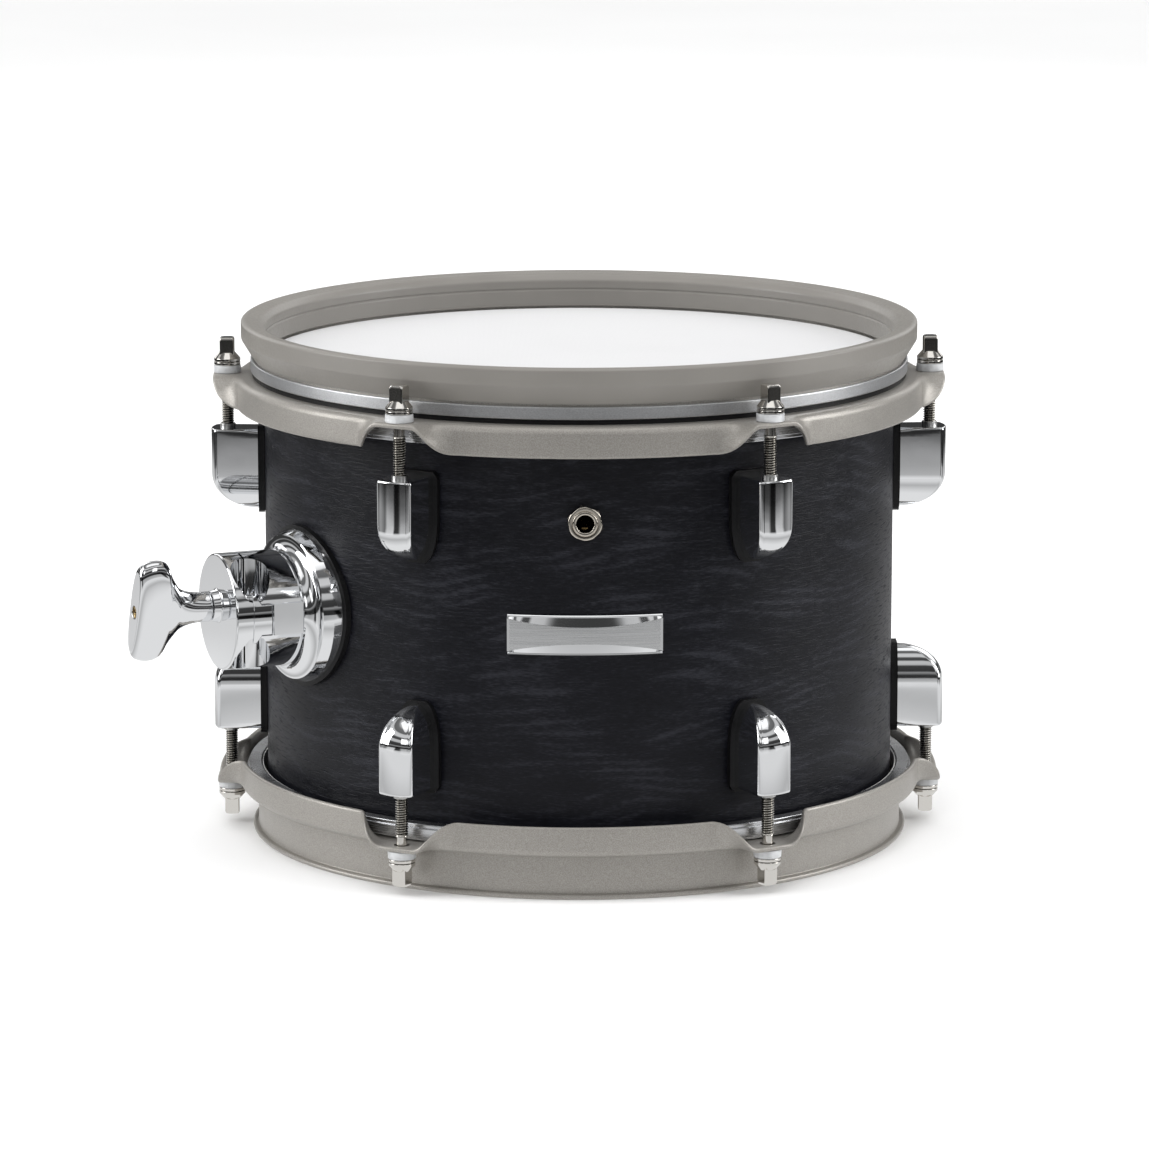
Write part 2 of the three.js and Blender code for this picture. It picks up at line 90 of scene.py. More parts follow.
JACK = Sizes(
    ring=7.4, flats=12.6, depth=2.9, bore=3.4, bushing=4.85, hole=5.4, body_front=120.4,
    body_depth=22.0, nut_turn=12.0,
)
BADGE = Sizes(width=60.6, height=15.7, back=127.3, front=128.95, border=0.7, bevel=3.2)
CLAMP = Sizes(
    flange=30.3, edge=2.6, ridge=28.2, ridge_at=6.8, flare=5.2, body=23.0, split=27.5,
    end=36.0, gap=0.35, arm_offset=14.7, arm=6.15, window=7.6, gasket=32.0, bolt=3.9,
    bolt_root=3.4, bolt_pitch=1.25, tongue_in=21.1, rib=6.2, boss=3.2,
)
HANDLE = Sizes(
    neck=5.9, neck_end=43.0, wing=57.5, end=70.4, span=22.2, half=6.0, lean=20.0,
    socket=2.6, screw=2.45,
)

# ---- The camera, in degrees and metres ----

CAMERA = Sizes(lens=173.02, azimuth=-1.0, pitch=11.13, distance=2.263, target=-0.0929, aside=0.00183)


# ---- Shapes: (points, faces) in millimetres ----

def skin(sections, around=False, caps=False):
    """Joins a stack of equal closed sections with quads; around also joins the last to the first."""
    sections = np.asarray(sections, float)
    count, size, _ = sections.shape
    rows = count if around else count - 1
    i, j = np.meshgrid(np.arange(rows), np.arange(size), indexing="ij")
    after, beside = (i + 1) % count, (j + 1) % size
    quads = np.stack([i * size + j, i * size + beside, after * size + beside, after * size + j], -1)
    faces = quads.reshape(-1, 4).tolist()
    if caps:
        faces += [list(range(size)), list(range((count - 1) * size, count * size))]
    return sections.reshape(-1, 3), faces


def lathe(outline, segments=FINE, hollow=False):
    """Turns an outline of (radius, z) round Z. A hollow outline closes on itself."""
    r, z = np.array([tuple(p) for p in outline], float).T
    a = np.linspace(0, 2 * math.pi, segments, endpoint=False)
    ring = np.stack([np.outer(r, np.cos(a)), np.outer(r, np.sin(a)), np.repeat(z[:, None], segments, 1)], -1)
    return skin(ring, around=hollow)


def bar(radius, low, high, segments=SMALL):
    """A plain round bar along Z."""
    return lathe([(0, low), (radius, low), (radius, high), (0, high)], segments)


def eased(outline, radii, steps=5):
    """Rounds the corners of a closed outline; a radius of 0 keeps its corner."""
    points = [Vector(p) for p in outline]
    result = []
    for i, (corner, radius) in enumerate(zip(points, radii)):
        if not radius:
            result.append(corner)
            continue
        to_last = (points[i - 1] - corner).normalized()
        to_next = (points[(i + 1) % len(points)] - corner).normalized()
        half = to_last.angle(to_next) / 2
        centre = corner + (to_last + to_next).normalized() * (radius / math.sin(half))
        start = corner + to_last * (radius / math.tan(half)) - centre
        end = corner + to_next * (radius / math.tan(half)) - centre
        turn = start.angle(end)
        for t in np.linspace(0, 1, steps + 1):
            arc = start * math.sin((1 - t) * turn) + end * math.sin(t * turn)
            result.append(centre + arc / math.sin(turn))
    return result


def moved(shape, matrix):
    """A shape turned and moved by a matrix whose translation is in millimetres."""
    points, faces = shape
    m = np.array(matrix)
    return points @ m[:3, :3].T + m[:3, 3], faces


def merged(*shapes):
    points, faces, start = [], [], 0
    for p, f in shapes:
        points.append(p)
        faces += [[i + start for i in face] for face in f]
        start += len(p)
    return np.concatenate(points), faces


def rounded_square(half, corner, steps=5):
    """A square's outline with rounded corners, as (x, y) points."""
    points = []
    for quarter in range(4):
        for t in np.linspace(0, math.pi / 2, steps + 1):
            a = quarter * math.pi / 2 + t
            x, y = ((1, 1), (-1, 1), (-1, -1), (1, -1))[quarter]
            points.append(((half - corner) * x + corner * math.cos(a), (half - corner) * y + corner * math.sin(a)))
    return points


def local_axes(x, z, origin=(0, 0, 0)):
    """A matrix of local axes with X and Z given, and its origin in millimetres."""
    x, z = Vector(x).normalized(), Vector(z).normalized()
    return Matrix.Translation(origin) @ Matrix((x, z.cross(x), z)).transposed().to_4x4()


# ---- Pieces ----

def linked(name, data):
    """A new object in the scene."""
    obj = bpy.data.objects.new(name, data)
    bpy.context.scene.collection.objects.link(obj)
    return obj


def mesh_of(name, shape, sharp=32):
    """A welded mesh in metres, smooth but for the edges sharper than the angle."""
    points, faces = shape
    mesh = bpy.data.meshes.new(name)
    mesh.from_pydata((np.asarray(points) * MM).tolist(), [], faces)
    welded = bmesh.new()
    welded.from_mesh(mesh)
    bmesh.ops.remove_doubles(welded, verts=welded.verts, dist=3e-7)
    bmesh.ops.recalc_face_normals(welded, faces=welded.faces)
    welded.to_mesh(mesh)
    welded.free()
    return shaded(mesh, sharp)


def shaded(mesh, sharp):
    """Smooth shading that keeps flat faces flat, broken at the edges sharper than the angle."""
    mesh.shade_smooth()
    mesh.set_sharp_from_angle(angle=math.radians(sharp))
    obj = linked(mesh.name, mesh)
    modifier = obj.modifiers.new("flat_faces", "WEIGHTED_NORMAL")
    modifier.keep_sharp = True
    result = bpy.data.meshes.new_from_object(obj.evaluated_get(bpy.context.evaluated_depsgraph_get()))
    result.name = mesh.name
    bpy.data.objects.remove(obj)
    return result


def piece(name, mesh, look, body, stands_for=(), matrix=None):
    """Puts a mesh in the scene, riding on a body and standing for CAD nodes; its slot follows its look."""
    obj = linked(name, mesh)
    if not mesh.materials:
        mesh.materials.append(LOOKS[look])
    if matrix is not None:
        m = matrix.copy()
        m.translation = m.translation * MM
        obj.matrix_world = m
    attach(obj, body)
    if stands_for:
        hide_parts(*stands_for)
    return obj


def cut(name, shape, *steps, bevel=0.0, sharp=32):
    """Joins ("UNION") or cuts ("DIFFERENCE", "INTERSECT") shapes, then eases the sharp edges."""
    body = linked(name, mesh_of(name, shape))
    tools = []
    for operation, other in steps:
        tools.append(linked(name + "_tool", mesh_of(name + "_tool", other)))
        modifier = body.modifiers.new(operation, "BOOLEAN")
        modifier.operation = operation
        modifier.solver = "EXACT"
        modifier.object = tools[-1]
    if bevel:
        modifier = body.modifiers.new("bevel", "BEVEL")
        modifier.width = bevel * MM
        modifier.segments = 3
        modifier.limit_method = "ANGLE"
        modifier.angle_limit = math.radians(38)
        modifier.harden_normals = False
    mesh = bpy.data.meshes.new_from_object(body.evaluated_get(bpy.context.evaluated_depsgraph_get()))
    mesh.name = name
    for obj in [body, *tools]:
        bpy.data.objects.remove(obj)
    return shaded(mesh, sharp)


# ---- Materials ----

class Nodes:
    """A node tree, and short ways to add nodes to it."""

    def __init__(self, tree, space="Object"):
        self.tree = tree
        self.place = tree.nodes.new("ShaderNodeTexCoord").outputs[space]

    def add(self, kind, _settings=None, **inputs):
        node = self.tree.nodes.new(kind)
        for key, value in (_settings or {}).items():
            setattr(node, key, value)
        for key, value in inputs.items():
            socket = node.inputs[int(key[1:])] if key[0] == "_" else node.inputs[key]
            if isinstance(value, bpy.types.NodeSocket):
                self.tree.links.new(value, socket)
            else:
                socket.default_value = value
        return node

    def math(self, operation, a, b=0.0):
        return self.add("ShaderNodeMath", {"operation": operation}, _0=a, _1=b).outputs[0]

    def noise(self, scale, detail=3.0, stretch=(1, 1, 1), vector=None, distortion=0.0):
        placed = self.add("ShaderNodeMapping", _0=vector or self.place, _3=stretch).outputs[0]
        node = self.add("ShaderNodeTexNoise", Vector=placed, Scale=scale, Detail=detail,
                        Distortion=distortion)
        return node.outputs[0]

    def range(self, value, low, high, new_low, new_high):
        node = self.add("ShaderNodeMapRange", _0=value, _1=low, _2=high, _3=new_low, _4=new_high)
        return node.outputs[0]

    def ramp(self, value, *stops):
        node = self.add("ShaderNodeValToRGB", _0=value)
        elements = node.color_ramp.elements
        while len(elements) < len(stops):
            elements.new(0.5)
        for element, (position, color) in zip(elements, stops):
            element.position = position
            element.color = (*color, 1)
        return node.outputs[0]

    def greys(self, value, *stops):
        return self.ramp(value, *((position, (tone, tone, tone)) for position, tone in stops))

    def radius(self, scale=1.0):
        """Distance from the local Z axis."""
        kind, flat = "ShaderNodeVectorMath", (scale, scale, 0)
        across = self.add(kind, {"operation": "MULTIPLY"}, _0=self.place, _1=flat)
        return self.add(kind, {"operation": "LENGTH"}, _0=across.outputs[0]).outputs[1]

    def polar(self):
        """Angle round the local Z axis from -Y, and height along it."""
        x, y, z = self.add("ShaderNodeSeparateXYZ", _0=self.place).outputs
        return self.math("ARCTAN2", x, self.math("MULTIPLY", y, -1.0)), z


class Look(Nodes):
    """A material with its Principled shader."""

    def __init__(self, name, color, roughness, metallic=0.0, **sockets):
        self.material = bpy.data.materials.new(name)
        self.material.use_nodes = True
        super().__init__(self.material.node_tree)
        self.shader = self.tree.nodes["Principled BSDF"]
        values = {"Base Color": (*color, 1), "Roughness": roughness, "Metallic": metallic, **sockets}
        for socket, value in values.items():
            self.shader.inputs[socket].default_value = value

    def set(self, socket, value):
        self.tree.links.new(value, self.shader.inputs[socket])

    def bump(self, height, distance, strength=1.0):
        node = self.add("ShaderNodeBump", Height=height, Distance=distance, Strength=strength)
        self.set("Normal", node.outputs[0])


def stained_oak():
    """Near-black stained veneer: short open pores, and faint wavy bands that run round the shell, lightened in
    colour as painted sheen.
    """
    look = Look("stained_oak", (0.006, 0.0062, 0.0085), 0.42, **{"Specular IOR Level": 0.24})
    angle, z = look.polar()
    veneer = look.add("ShaderNodeCombineXYZ", _0=look.math("MULTIPLY", angle, 0.127), _1=0.0, _2=z).outputs[0]
    drift = look.noise(1.0, 2.0, (6, 1, 13), veneer)
    waved = look.math("ADD", look.math("MULTIPLY", z, 1150.0), look.math("MULTIPLY", drift, 95.0))
    bands = look.range(look.math("SINE", waved), -0.2, 1.0, 0.0, 1.0)
    pores = look.noise(1.0, 3.0, (150, 1, 1250), veneer)
    flecks = look.noise(1.0, 4.0, (420, 1, 2300), veneer)
    patches = look.noise(1.0, 2.0, (26, 1, 90), veneer)
    open_pores = look.range(pores, 0.5, 0.68, 0.0, 1.0)
    depth = look.math("MULTIPLY", open_pores, look.range(bands, 0.0, 1.0, 0.5, 1.0))
    # Painted sheen: the wavy bands, a real figure of the grain, are lightened in colour where they would catch the
    # light.
    lit = look.math("MULTIPLY", bands, look.range(patches, 0.42, 0.62, 0.0, 0.10))
    tone = look.math("ADD", look.math("MULTIPLY", flecks, 0.45), look.math("MULTIPLY", patches, 0.28))
    tone = look.math("ADD", tone, look.math("ADD", look.math("MULTIPLY", pores, 0.25), lit))
    stain_and_sheen = look.ramp(tone, (0.37, (0.0016, 0.0018, 0.0038)), (0.5, (0.0038, 0.0042, 0.0074)),
                      (0.65, (0.0170, 0.0178, 0.0240)))
    look.set("Base Color", stain_and_sheen)
    look.set("Roughness", look.range(depth, 0.0, 1.0, 0.40, 0.62))
    relief = look.math("ADD", look.math("MULTIPLY", flecks, 0.35), look.math("MULTIPLY", depth, -1.0))
    look.bump(relief, 0.00012, 0.7)
    return look.material


def hoop_paint():
    """Powder-coated steel: warm silver-grey with a fine metallic grain."""
    look = Look("hoop_paint", (0.36, 0.34, 0.315), 0.42, 0.55)
    grain = look.noise(2600, 2.0)
    soft = look.noise(60, 2.0)
    look.set("Base Color", look.ramp(grain, (0.36, (0.30, 0.285, 0.262)), (0.66, (0.42, 0.40, 0.372))))
    look.set("Roughness", look.range(soft, 0.3, 0.7, 0.38, 0.46))
    look.bump(grain, 0.00003, 0.5)
    return look.material


def rim_rubber():
    """Moulded satin rubber in warm grey."""
    look = Look("rim_rubber", (0.30, 0.283, 0.257), 0.4, **{"Specular IOR Level": 0.5})
    soft = look.noise(30, 2.0)
    look.set("Base Color", look.ramp(soft, (0.3, (0.205, 0.194, 0.178)), (0.7, (0.23, 0.218, 0.2))))
    look.set("Roughness", look.range(look.noise(900, 2.0), 0.3, 0.7, 0.34, 0.46))
    look.bump(look.noise(1500, 2.0), 0.00002, 0.35)
    return look.material


def polished(name, color, roughness, haze=0.05):
    """Bright plating with faint haze and handling marks."""
    look = Look(name, color, roughness, 1.0)
    marks = look.noise(55, 4.0)
    look.set("Roughness", look.range(marks, 0.35, 0.75, roughness, roughness + haze))
    look.bump(look.noise(240, 1.0), 0.00001, 0.12)
    return look.material


def turned_metal(name, color, roughness, stretch):
    """Machined metal with fine tool lines across one direction."""
    look = Look(name, color, roughness, 1.0)
    lines = look.noise(1.0, 3.0, stretch)
    tint = [0.86 * c for c in color], [min(1.0, 1.06 * c) for c in color]
    look.set("Base Color", look.ramp(lines, (0.3, tint[0]), (0.7, tint[1])))
    look.set("Roughness", look.range(lines, 0.3, 0.7, roughness - 0.06, roughness + 0.08))
    look.bump(lines, 0.00002, 0.5)
    return look.material


def cut_thread():
    """Plated thread with painted shade in its grooves: the colour darkens from the crest down to the root."""
    look = Look("cut_thread", (0.5, 0.48, 0.45), 0.22, 1.0)
    height = look.range(look.radius(1 / MM), ROD.root, ROD.shank, 0.0, 1.0)
    # Painted shade: the thread's colour goes dark towards the root of each groove.
    look.set("Base Color", look.ramp(height, (0.2, (0.035, 0.032, 0.028)), (0.65, (0.62, 0.60, 0.56))))
    look.set("Roughness", look.range(look.noise(400, 2.0), 0.3, 0.7, 0.16, 0.32))
    return look.material


def mesh_cloth():
    """White two-ply mesh: a fine square weave."""
    look = Look("mesh_cloth", (0.76, 0.76, 0.765), 0.62, **{"Sheen Weight": 0.1})
    threads = []
    for direction in ("X", "Y"):
        wave = look.add("ShaderNodeTexWave", {"wave_type": "BANDS", "bands_direction": direction},
                        Vector=look.place, Scale=620.0, Distortion=0.0)
        threads.append(wave.outputs[1])
    weave = look.math("MAXIMUM", *threads)
    soft = look.noise(14, 2.0)
    look.set("Base Color", look.ramp(look.math("MULTIPLY", weave, soft), (0.0, (0.56, 0.56, 0.567)),
                                     (0.35, (0.64, 0.64, 0.647))))
    look.bump(weave, 0.00006, 0.35)
    return look.material


def film():
    """Coated plastic film, milky and slightly glossy."""
    look = Look("film", (0.83, 0.83, 0.81), 0.32, **{"Subsurface Weight": 0.15, "Coat Weight": 0.2})
    look.shader.inputs["Subsurface Radius"].default_value = (0.002, 0.002, 0.002)
    haze = look.noise(45, 4.0)
    look.set("Base Color", look.ramp(haze, (0.3, (0.79, 0.79, 0.77)), (0.7, (0.85, 0.85, 0.835))))
    look.set("Roughness", look.range(haze, 0.3, 0.7, 0.28, 0.42))
    look.bump(look.noise(700, 3.0), 0.00002, 0.4)
    return look.material


def moulded(name, color, roughness, grain=900, depth=0.00003, shine=0.5):
    """Moulded rubber, plastic or foam with a fine surface grain."""
    look = Look(name, color, roughness, **{"Specular IOR Level": shine})
    fine = look.noise(grain, 3.0)
    light = [1.5 * c for c in color]
    look.set("Base Color", look.ramp(fine, (0.35, color), (0.7, light)))
    look.set("Roughness", look.range(fine, 0.3, 0.7, roughness - 0.08, min(1.0, roughness + 0.08)))
    look.bump(fine, depth, 0.5)
    return look.material


def nylon():
    """A translucent nylon washer."""
    look = Look("nylon", (0.56, 0.57, 0.58), 0.38, **{"Subsurface Weight": 0.35})
    look.shader.inputs["Subsurface Radius"].default_value = (0.0015, 0.0015, 0.0015)
    cloud = look.noise(300, 2.0)
    look.set("Base Color", look.ramp(cloud, (0.3, (0.50, 0.51, 0.52)), (0.7, (0.62, 0.63, 0.64))))
    look.set("Roughness", look.range(cloud, 0.3, 0.7, 0.32, 0.46))
    return look.material


LOOKS = {
    "stained_oak": stained_oak(),
    "hoop_paint": hoop_paint(),
    "rim_rubber": rim_rubber(),
    "black_rubber": moulded("black_rubber", (0.005, 0.005, 0.0055), 0.4, shine=0.25),
    "lead_sheath": moulded("lead_sheath", (0.012, 0.012, 0.012), 0.45),
    "chrome": polished("chrome", (0.83, 0.84, 0.855), 0.035),
    "nickel": polished("nickel", (0.72, 0.67, 0.59), 0.12),
    "silver_band": turned_metal("silver_band", (0.72, 0.73, 0.745), 0.38, (1500, 1500, 2600)),
    "aluminium": turned_metal("aluminium", (0.74, 0.75, 0.77), 0.24, (40, 40, 2400)),
    "brushed": turned_metal("brushed", (0.80, 0.81, 0.82), 0.24, (25, 25, 3200)),
    "mesh_cloth": mesh_cloth(),
    "film": film(),
    "zinc_steel": turned_metal("zinc_steel", (0.60, 0.60, 0.59), 0.3, (900, 900, 60)),
    "rod_plate": polished("rod_plate", (0.70, 0.68, 0.645), 0.08),
    "thread": cut_thread(),
    "brass": turned_metal("brass", (0.62, 0.46, 0.22), 0.3, (700, 700, 700)),
    "foam": moulded("foam", (0.022, 0.023, 0.026), 0.9, 1400, 0.00025),
    "black_plastic": moulded("black_plastic", (0.010, 0.010, 0.011), 0.38),
    "nylon": nylon(),
}


# ---- Shell and heads ----

def at_end(z, up):
    """Puts a piece drawn for the batter end at a height, and turns it over for the resonant end."""
    return Matrix.Translation((0, 0, z)) @ Matrix.Rotation(0 if up > 0 else math.pi, 4, "X")


def span(node):
    """A node's radius from the drum's axis and its lowest and highest z, in millimetres."""
    low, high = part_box(node)
    return high.x / MM, low.z / MM, high.z / MM


def shell():
    radius, bottom, top = span("shell")
    wall, edge, bevel = SHELL.wall, SHELL.edge, SHELL.bevel
    outline = eased(
        [(radius, top), (radius - wall + bevel * 0.1, top), (radius - wall, top - bevel),
         (radius - wall, bottom + bevel), (radius - wall + bevel * 0.1, bottom), (radius, bottom)],
        [edge, 1.2, 1.2, 1.2, 1.2, edge])
    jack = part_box("jack_nut")
    centre = (jack[0].z + jack[1].z) / 2 / MM
    hole = moved(bar(JACK.hole, -20, 20), local_axes((0, 0, 1), (0, -1, 0), (0, -radius, centre)))
    mesh = cut("oak_shell", lathe(outline, 384, hollow=True), ("DIFFERENCE", hole))
    piece("oak_shell", mesh, "stained_oak", "drum", ["shell"])


def head(end, up, look):
    """A stretched head whose collar wraps over the shell's edge and down to its flesh hoop."""
    node = f"{end}_head"
    _, low, high = span(node)
    collar = high - low
    thick, flat, edge, side, foot = HEAD.film, HEAD.flat, HEAD.edge, HEAD.collar, HEAD.foot
    bend = [(flat + (edge - flat + 0.35) * math.sin(t), -1.9 * (1 - math.cos(t)))
            for t in np.linspace(0.0, math.pi * 0.42, 8)]
    outer = [(0, 0), (40, 0), (80, 0), (flat - 3, 0), *bend, (side, -2.9), ((side + foot) / 2, -collar / 2),
             (foot, -collar)]
    inner = [(max(r - thick, 0), z - thick if z > -1.9 else z) for r, z in outer]
    mesh = mesh_of(node + "_skin", lathe([*outer, *reversed(inner)]))
    return piece(node + "_skin", mesh, look, "drum", [node], at_end(high if up > 0 else low, up))


def flesh_hoop(end, up):
    """Stepped aluminium hoop that grips the head's rim."""
    node = f"{end}_flesh_hoop"
    outer, low, high = span(node)
    inner, height = FLESH.inner, FLESH.height
    outline = eased(
        [(inner, 0), (outer - 1.2, 0), (outer - 1.2, -1.7), (outer, -1.7), (outer, -height + 1.5),
         (outer - 0.8, -height + 1.5), (outer - 0.8, -height), (inner, -height)],
        [0.3, 0.4, 0.15, 0.3, 0.3, 0.15, 0.4, 0.3], 3)
    mesh = mesh_of(node + "_ring", lathe(outline, hollow=True))
    piece(node + "_ring", mesh, "aluminium", "drum", [node], at_end(high if up > 0 else low, up))


# ---- Hoops ----

def ear_share(distance):
    """How far the sheet has turned into an ear: 1 on the ear and 0 where the skirt hangs straight."""
    past = np.clip((abs(distance) - HOOP.ear_half) / (HOOP.ear_fade - HOOP.ear_half), 0, 1)
    return 1 - past * past * (3 - 2 * past)


def sheet_section(share):
    """The pressed sheet's closed section, as (radius, z) points with the ear's face at z = 0."""
    half = HOOP.sheet / 2
    wall, start = HOOP.wall, HOOP.bend_start
    line = [(HOOP.lip - 1.2, HOOP.height - half), (wall + 1.4, HOOP.height - half)]
    corner = Vector((wall + 1.4, HOOP.height - half - 1.4))
    line += [corner + 1.4 * Vector((-math.sin(t), math.cos(t))) for t in np.linspace(0.3, math.pi / 2, 5)]
    line += [(wall, z) for z in (12.0, 6.0)]
    foot = Vector((wall + 1.7, 1.7 - half))
    line += [foot + 1.7 * Vector((-math.cos(t), -math.sin(t))) for t in np.linspace(0.0, math.pi / 2, 7)]
    line += [(start - 1.6, -half), (start, -half)]
    turn = max((math.pi / 2) * (1 - share), 1e-3)
    length = HOOP.bend * math.pi / 2
    radius = length / turn
    for angle in np.linspace(0, turn, 9)[1:]:
        line.append((start + radius * math.sin(angle), -half - radius * (1 - math.cos(angle))))
    straight = HOOP.skirt + (HOOP.ear_reach - start - length - HOOP.skirt) * share
    bend_end = Vector(line[-1])
    along = Vector((math.cos(turn), -math.sin(turn)))
    line += [bend_end + along * (straight - half) * t for t in (0.25, 0.5, 0.75, 1.0)]
    line = np.array([tuple(p) for p in line])
    tangent = np.gradient(line, axis=0)
    tangent /= np.linalg.norm(tangent, axis=1)[:, None]
    normal = np.stack([-tangent[:, 1], tangent[:, 0]], 1)
    caps = []
    for i, sign in ((-1, 1), (0, -1)):
        for t in np.radians((60, 30, 0, -30, -60)):
            caps.append(line[i] + half * (sign * math.sin(t) * normal[i] + sign * math.cos(t) * tangent[i]))
    return np.concatenate([line + half * normal, caps[:5], (line - half * normal)[::-1], caps[5:]])


def hoop_mesh():
    """A pressed hoop with its wall up, the faces of its ears at z = 0, bored for the rods."""
    reach = math.radians(1) * (HOOP.bend_start + HOOP.bend)
    azimuths = sorted(math.degrees(math.atan2(p[0], -p[1])) for p in rod_places("batter").values())
    sections = []
    for a in np.arange(0, 360, 0.5):
        nearest = min(abs((a - e + 180) % 360 - 180) for e in azimuths)
        section = sheet_section(ear_share(nearest * reach))
        s, c = math.sin(math.radians(a)), math.cos(math.radians(a))
        sections.append(np.stack([section[:, 0] * s, -section[:, 0] * c, section[:, 1]], 1))
    holes = []
    for x, y, _ in rod_places("batter").values():
        holes.append(moved(bar(HOOP.ear_hole, -3, 1, 32), Matrix.Translation((x, y, 0))))
    return cut("pressed_hoop", skin(sections, around=True), ("DIFFERENCE", merged(*holes)))


def rod_places(end):
    """Where each rod's axis crosses its ear's face, in millimetres."""
    return {w: [c / MM for c in JOINTS[f"{end}_rod_{w}_turn"]["pos_m"]] for w in WHERE}


def ear_height(end):
    return rod_places(end)[WHERE[0]][2]


def hoops():
    mesh = hoop_mesh()
    for end, up in zip(ENDS, (1, -1)):
        node = f"{end}_hoop"
        piece(node + "_pressing", mesh, "hoop_paint", node, [node], at_end(ear_height(end), up))


def rim_cover():
    """Rubber cover over the batter hoop's wall, with a broad crowned top and a bead inside."""
    outside, inside = HOOP.wall + 1.25, HOOP.wall - 1.3
    outer, crest, inner = COVER.outer, COVER.crest, COVER.inner
    top, band, bottom = COVER.top, COVER.band, COVER.bottom
    outline = eased(
        [(outside, bottom), (outer, band), (outer, top - 0.9), (crest - 0.4, top), (inner + 2.2, top - 1.0),
         (inner, top - 3.6), (inner, top - 6.6), (inner + 0.5, top - 7.3), (inner, top - 8.0),
         (inner, bottom + 0.9), (inside, bottom + 0.9), (inside, HOOP.height + 0.7),
         (HOOP.lip + 0.3, HOOP.height + 0.7), (HOOP.lip + 0.3, band), (outside, 13.6)],
        [0.3, 1.6, 1.0, 2.4, 3.0, 1.8, 0.6, 0.25, 0.6, 0.4, 0, 0, 0, 0, 0], 6)
    mesh = mesh_of("rubber_rim_cover", lathe(outline, hollow=True), 50)
    matrix = at_end(ear_height("batter"), 1)
    piece("rubber_rim_cover", mesh, "rim_rubber", "batter_hoop", ["rim_cover"], matrix)
    inner, outer, low, high = BAND.inner, BAND.outer, BAND.low, BAND.high
    outline = eased([(inner, low), (outer, low), (outer, high), (inner, high)], [0.2, 0.5, 0.5, 0.2], 4)
    band_mesh = mesh_of("rim_band", lathe(outline, hollow=True))
    piece("rim_band", band_mesh, "silver_band", "batter_hoop", (), matrix)
    # Painted shadow: a black ring fills the gap under the silver band to draw the dark line of shade there.
    outline = [(inner, 0.05), (BAND.seal, 0.05), (BAND.seal, low + 0.3), (inner, low + 0.3)]
    seal = mesh_of("rim_painted_shadow", lathe(outline, hollow=True))
    piece("rim_painted_shadow", seal, "black_rubber", "batter_hoop", (), matrix)


# ---- Rods, washers and lugs ----

def threaded(radius, root, pitch, low, high, segments=28, steps=8):
    """A rod along Z with a 60-degree thread between two heights."""
    sections = []
    a = np.linspace(0, 2 * math.pi, segments, endpoint=False)
    for z in np.arange(low, high + 1e-6, pitch / steps):
        phase = (z / pitch - a / (2 * math.pi)) % 1.0
        ease = min(1.0, (z - low) / pitch, (high - z) / pitch)
        r = radius - (radius - root) * 2 * np.abs(phase - 0.5) * max(ease, 0.0)
        sections.append(np.stack([r * np.cos(a), r * np.sin(a), np.full_like(a, z)], 1))
    return skin(sections, caps=True)


def rod_mesh():
    """A tension rod standing on an ear at z = 0: square head, cone, flange and threaded shank."""
    half, top = ROD.square / 2, ROD.top
    sections = []
    crown = [(top - 1.3, t) for t in (0, 0.4, 0.8, 1.15, 1.4)]
    for base, turn in ((ROD.cone - 1.6, 0), (ROD.cone, 0), *crown):
        rounding = 1 - math.cos(turn)
        flat = rounded_square(half - 0.55 * rounding, 0.45 + 1.5 * rounding)
        sections.append([(x, y, base + 1.3 * math.sin(turn)) for x, y in flat])
    square = skin(sections, caps=True)
    flange, bottom = ROD.flange, ROD.flange_bottom
    collar = lathe(eased([(0, bottom), (flange, bottom), (flange, bottom + 1.1), (half + 0.35, ROD.cone),
                          (0, ROD.cone)], [0, 0.25, 0.4, 0.3, 0], 4), SMALL)
    start, neck, root, wide = -ROD.threaded, -ROD.neck, ROD.root, ROD.plain
    shank = threaded(ROD.shank, root, ROD.pitch, start, neck)
    plain = lathe([(0, neck - 0.3), (root, neck - 0.3), (wide, neck + 0.2), (wide, bottom + 0.5),
                   (0, bottom + 0.5)], 28)
    end = bar(root, -ROD.reach, start + 0.2, 24)
    mesh = mesh_of("tension_rod", merged(square, collar, plain, shank, end), 30)
    mesh.materials.append(LOOKS["rod_plate"])
    mesh.materials.append(LOOKS["thread"])
    for face in mesh.polygons:
        if face.center.z < neck * MM:
            face.material_index = 1
    return mesh


def washer_mesh(name, low, high, lower, upper, bore):
    outline = eased([(bore, low), (lower, low), (upper, high), (bore, high)], [0.15, 0.3, 0.3, 0.15], 3)
    return mesh_of(name, lathe(outline, SMALL, hollow=True))


def lug_outline(t, margin=0.0):
    """Half-width at the back and the front's radius, at a depth below the lug's flat end."""
    straight, length = LUG.straight, LUG.length
    past = min(max((t - straight) / (length - straight), 0.0), 1.0)
    front = LUG.back + (LUG.front - LUG.back) * math.sqrt(max(0.0, 1 - past ** 2.15))
    narrow = min(max((t - LUG.narrows) / (length - LUG.narrows), 0.0), 1.0)
    half = LUG.tip + (LUG.half - LUG.tip) * math.sqrt(max(0.0, 1 - narrow ** 2.4))
    return half + margin, front


